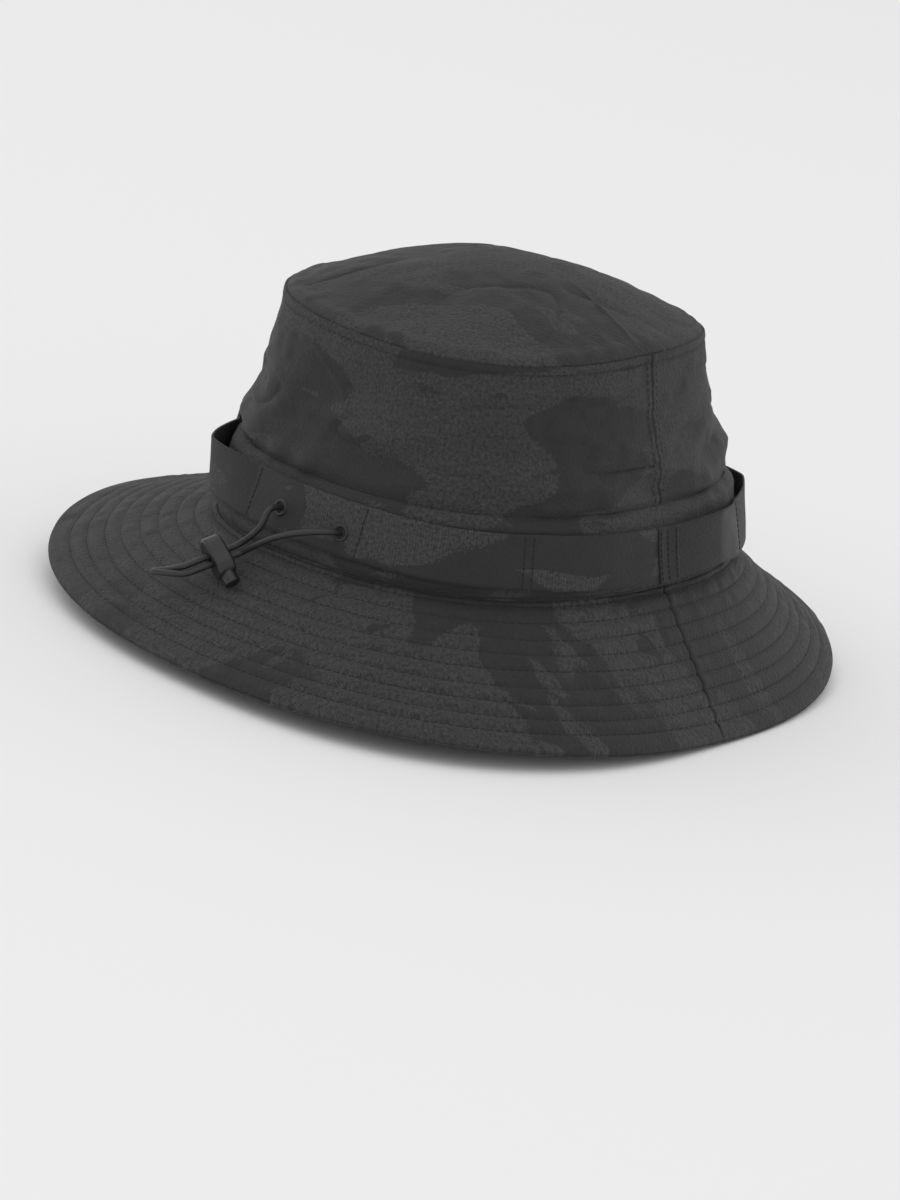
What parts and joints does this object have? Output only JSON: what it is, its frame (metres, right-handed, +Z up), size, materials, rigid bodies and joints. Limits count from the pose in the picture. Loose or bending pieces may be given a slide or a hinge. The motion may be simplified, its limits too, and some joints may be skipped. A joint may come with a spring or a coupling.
{
  "type": "bucket hat",
  "caption": "Bucket hat with a stitched drooping brim, a webbing loop band round the crown, and a shock cord with a spring cord lock at the back.",
  "frame": {"origin": "on the ground, below the middle of the hat's box measured without the free cord and its lock", "axes": "+Z up from the ground, -Y to the hat's front, +Y to its back where the cord comes out, +X to the wearer's left"},
  "size_m": [0.29, 0.2896, 0.148],
  "materials": {
    "hat_fabric": "matte woven, tonal camouflage weave",
    "seam_tape": "matte woven tape",
    "sweatband_fabric": "matte brushed",
    "label_fabric": "plain satin, blank",
    "interlining": "stiff non-woven",
    "webbing": "ribbed webbing",
    "thread": "sewing thread",
    "eyelet_metal": "black, satin",
    "shock_cord": "tight round braid, slight shine",
    "lock_plastic": "moulded, satin",
    "spring_steel": "bright wire"
  },
  "bodies": {
    "hat": {"crown_tip": "hat_fabric", "crown_back_panel": "hat_fabric", "crown_front_panel": "hat_fabric", "tip_seam_tape": "seam_tape", "side_seam_tape_right": "seam_tape", "side_seam_tape_left": "seam_tape", "sweatband": "sweatband_fabric", "care_label": "label_fabric", "brim_upper_back": "hat_fabric", "brim_upper_front": "hat_fabric", "brim_interlining": "interlining", "brim_lower_back": "hat_fabric", "brim_lower_front": "hat_fabric", "cord_channel": "hat_fabric", "loop_band": "webbing", "band_bartacks": "thread", "eyelet_left": "eyelet_metal", "eyelet_right": "eyelet_metal", "shock_cord_held": "shock_cord", "shock_cord_loop": "shock_cord"},
    "cord_lock": {"cord_lock_body": "lock_plastic", "cord_lock_spring": "spring_steel"},
    "plunger": {"cord_lock_plunger": "lock_plastic"}
  },
  "joints": [
    {"name": "lock_slide", "type": "slide", "parent": "hat", "child": "cord_lock", "axis": [0.291, 0.8934, -0.3423], "range_m": [-0.0005, 0.005]},
    {"name": "plunger_press", "type": "slide", "parent": "cord_lock", "child": "plunger", "axis": [0.8018, -0.0345, 0.5966], "range_m": [0, 0.0015], "stiffness_N_per_m": 1500, "springref_m": -0.0005, "deforming": ["cord_lock_spring"]}
  ]
}
